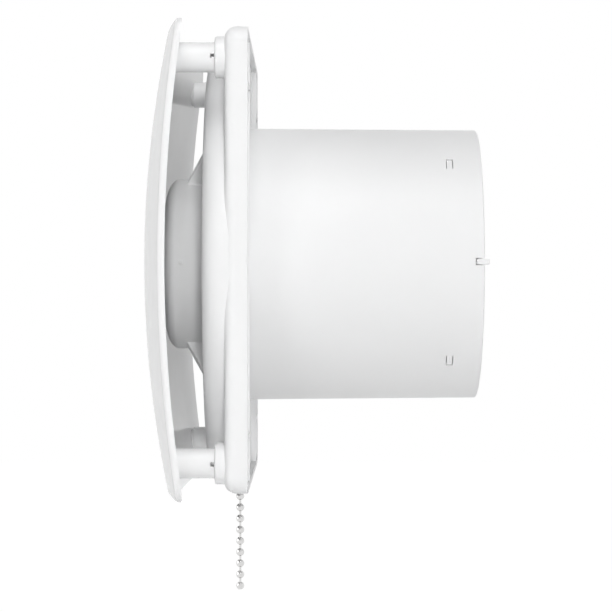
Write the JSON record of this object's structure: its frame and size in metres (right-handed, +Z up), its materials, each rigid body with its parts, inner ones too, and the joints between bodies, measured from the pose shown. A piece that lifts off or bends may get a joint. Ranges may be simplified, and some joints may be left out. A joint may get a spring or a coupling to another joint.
{
  "type": "window exhaust fan",
  "caption": "Wall or window exhaust fan: domed square front panel on posts, square face frame with round inlet, duct spigot with back-draught damper, and a bead pull chain.",
  "frame": {"origin": "on the duct's axis, in the plane where the face frame's rear rim meets the wall", "axes": "+X along the duct to the outside, away from the front panel; +Z up; +Y across the frame"},
  "size_m": [0.1231, 0.1634, 0.2022],
  "materials": {
    "white_plastic": "satin white moulded plastic",
    "panel_gloss": "polished white moulded plastic",
    "impeller_plastic": "satin off-white moulded plastic",
    "flap_plastic": "thin translucent white plastic",
    "chain_plating": "bright nickel plate",
    "steel": "zinc-plated steel",
    "bright_steel": "ground bright steel",
    "lamination": "stacked electrical steel",
    "copper": "enamelled copper wire",
    "bronze": "oiled sintered bronze",
    "dark_plastic": "matt dark plastic",
    "grey_plastic": "matt light grey plastic",
    "brown_sleeve": "brown insulated wire",
    "blue_sleeve": "blue insulated wire"
  },
  "bodies": {
    "housing": {"face_frame": "white_plastic", "duct_casing": "white_plastic", "frame_screw_1": "steel", "frame_screw_2": "steel", "frame_screw_3": "steel", "frame_screw_4": "steel", "inlet_guard": "white_plastic", "pod_cap": "white_plastic", "stator_core": "lamination", "winding_top": "copper", "winding_near": "copper", "winding_bottom": "copper", "winding_far": "copper", "motor_front_bracket": "steel", "motor_rear_bracket": "steel", "front_bush": "bronze", "rear_bush": "bronze", "motor_screw_1": "steel", "motor_screw_2": "steel", "damper_ring": "white_plastic", "damper_pin": "bright_steel", "damper_spring": "bright_steel", "chain_guide": "white_plastic", "switch_body": "grey_plastic", "terminal_block": "grey_plastic", "cable_clamp": "grey_plastic", "switch_lead": "brown_sleeve", "motor_lead": "blue_sleeve"},
    "panel": {"front_panel": "panel_gloss"},
    "rotor": {"rotor_core": "lamination", "motor_shaft": "bright_steel", "impeller": "impeller_plastic", "impeller_clip": "steel"},
    "upper_flap": {"damper_flap_upper": "flap_plastic"},
    "lower_flap": {"damper_flap_lower": "flap_plastic"},
    "pull": {"chain_inside": "chain_plating"},
    "chain": {"chain_hanging": "chain_plating"},
    "switch_arm": {"switch_lever": "dark_plastic"}
  },
  "joints": [
    {"name": "impeller_spin", "type": "hinge", "parent": "housing", "child": "rotor", "pos_m": [0, 0, 0], "axis": [1, 0, 0], "continuous": true},
    {"name": "panel_pull", "type": "slide", "parent": "housing", "child": "panel", "axis": [-1, 0, 0], "range_m": [0, 0.02]},
    {"name": "upper_flap_swing", "type": "hinge", "parent": "housing", "child": "upper_flap", "pos_m": [0.0706, 0, 0], "axis": [0, 1, 0], "range_deg": [0, 80], "stiffness_Nm_per_rad": 0.002, "springref_deg": -20.05, "deforming": ["damper_spring"]},
    {"name": "lower_flap_swing", "type": "hinge", "parent": "housing", "child": "lower_flap", "pos_m": [0.0706, 0, 0], "axis": [0, -1, 0], "range_deg": [0, 80], "stiffness_Nm_per_rad": 0.002, "springref_deg": -20.05},
    {"name": "chain_pull", "type": "slide", "parent": "housing", "child": "pull", "axis": [0, 0, -1], "range_m": [0, 0.002], "stiffness_N_per_m": 60, "springref_m": -0.003},
    {"name": "chain_swing", "type": "hinge", "parent": "pull", "child": "chain", "pos_m": [-0.0048, 0, -0.0797], "axis": [1, 0, 0], "range_deg": [-35, 35]},
    {"name": "switch_swing", "type": "hinge", "parent": "housing", "child": "switch_arm", "pos_m": [-0.005, -0.009, -0.0675], "axis": [-1, 0, 0], "range_deg": [0, 12.8]}
  ],
  "couplings": [
    {"joint": "switch_swing", "follows": "chain_pull", "rad_per_m": 111.11}
  ]
}
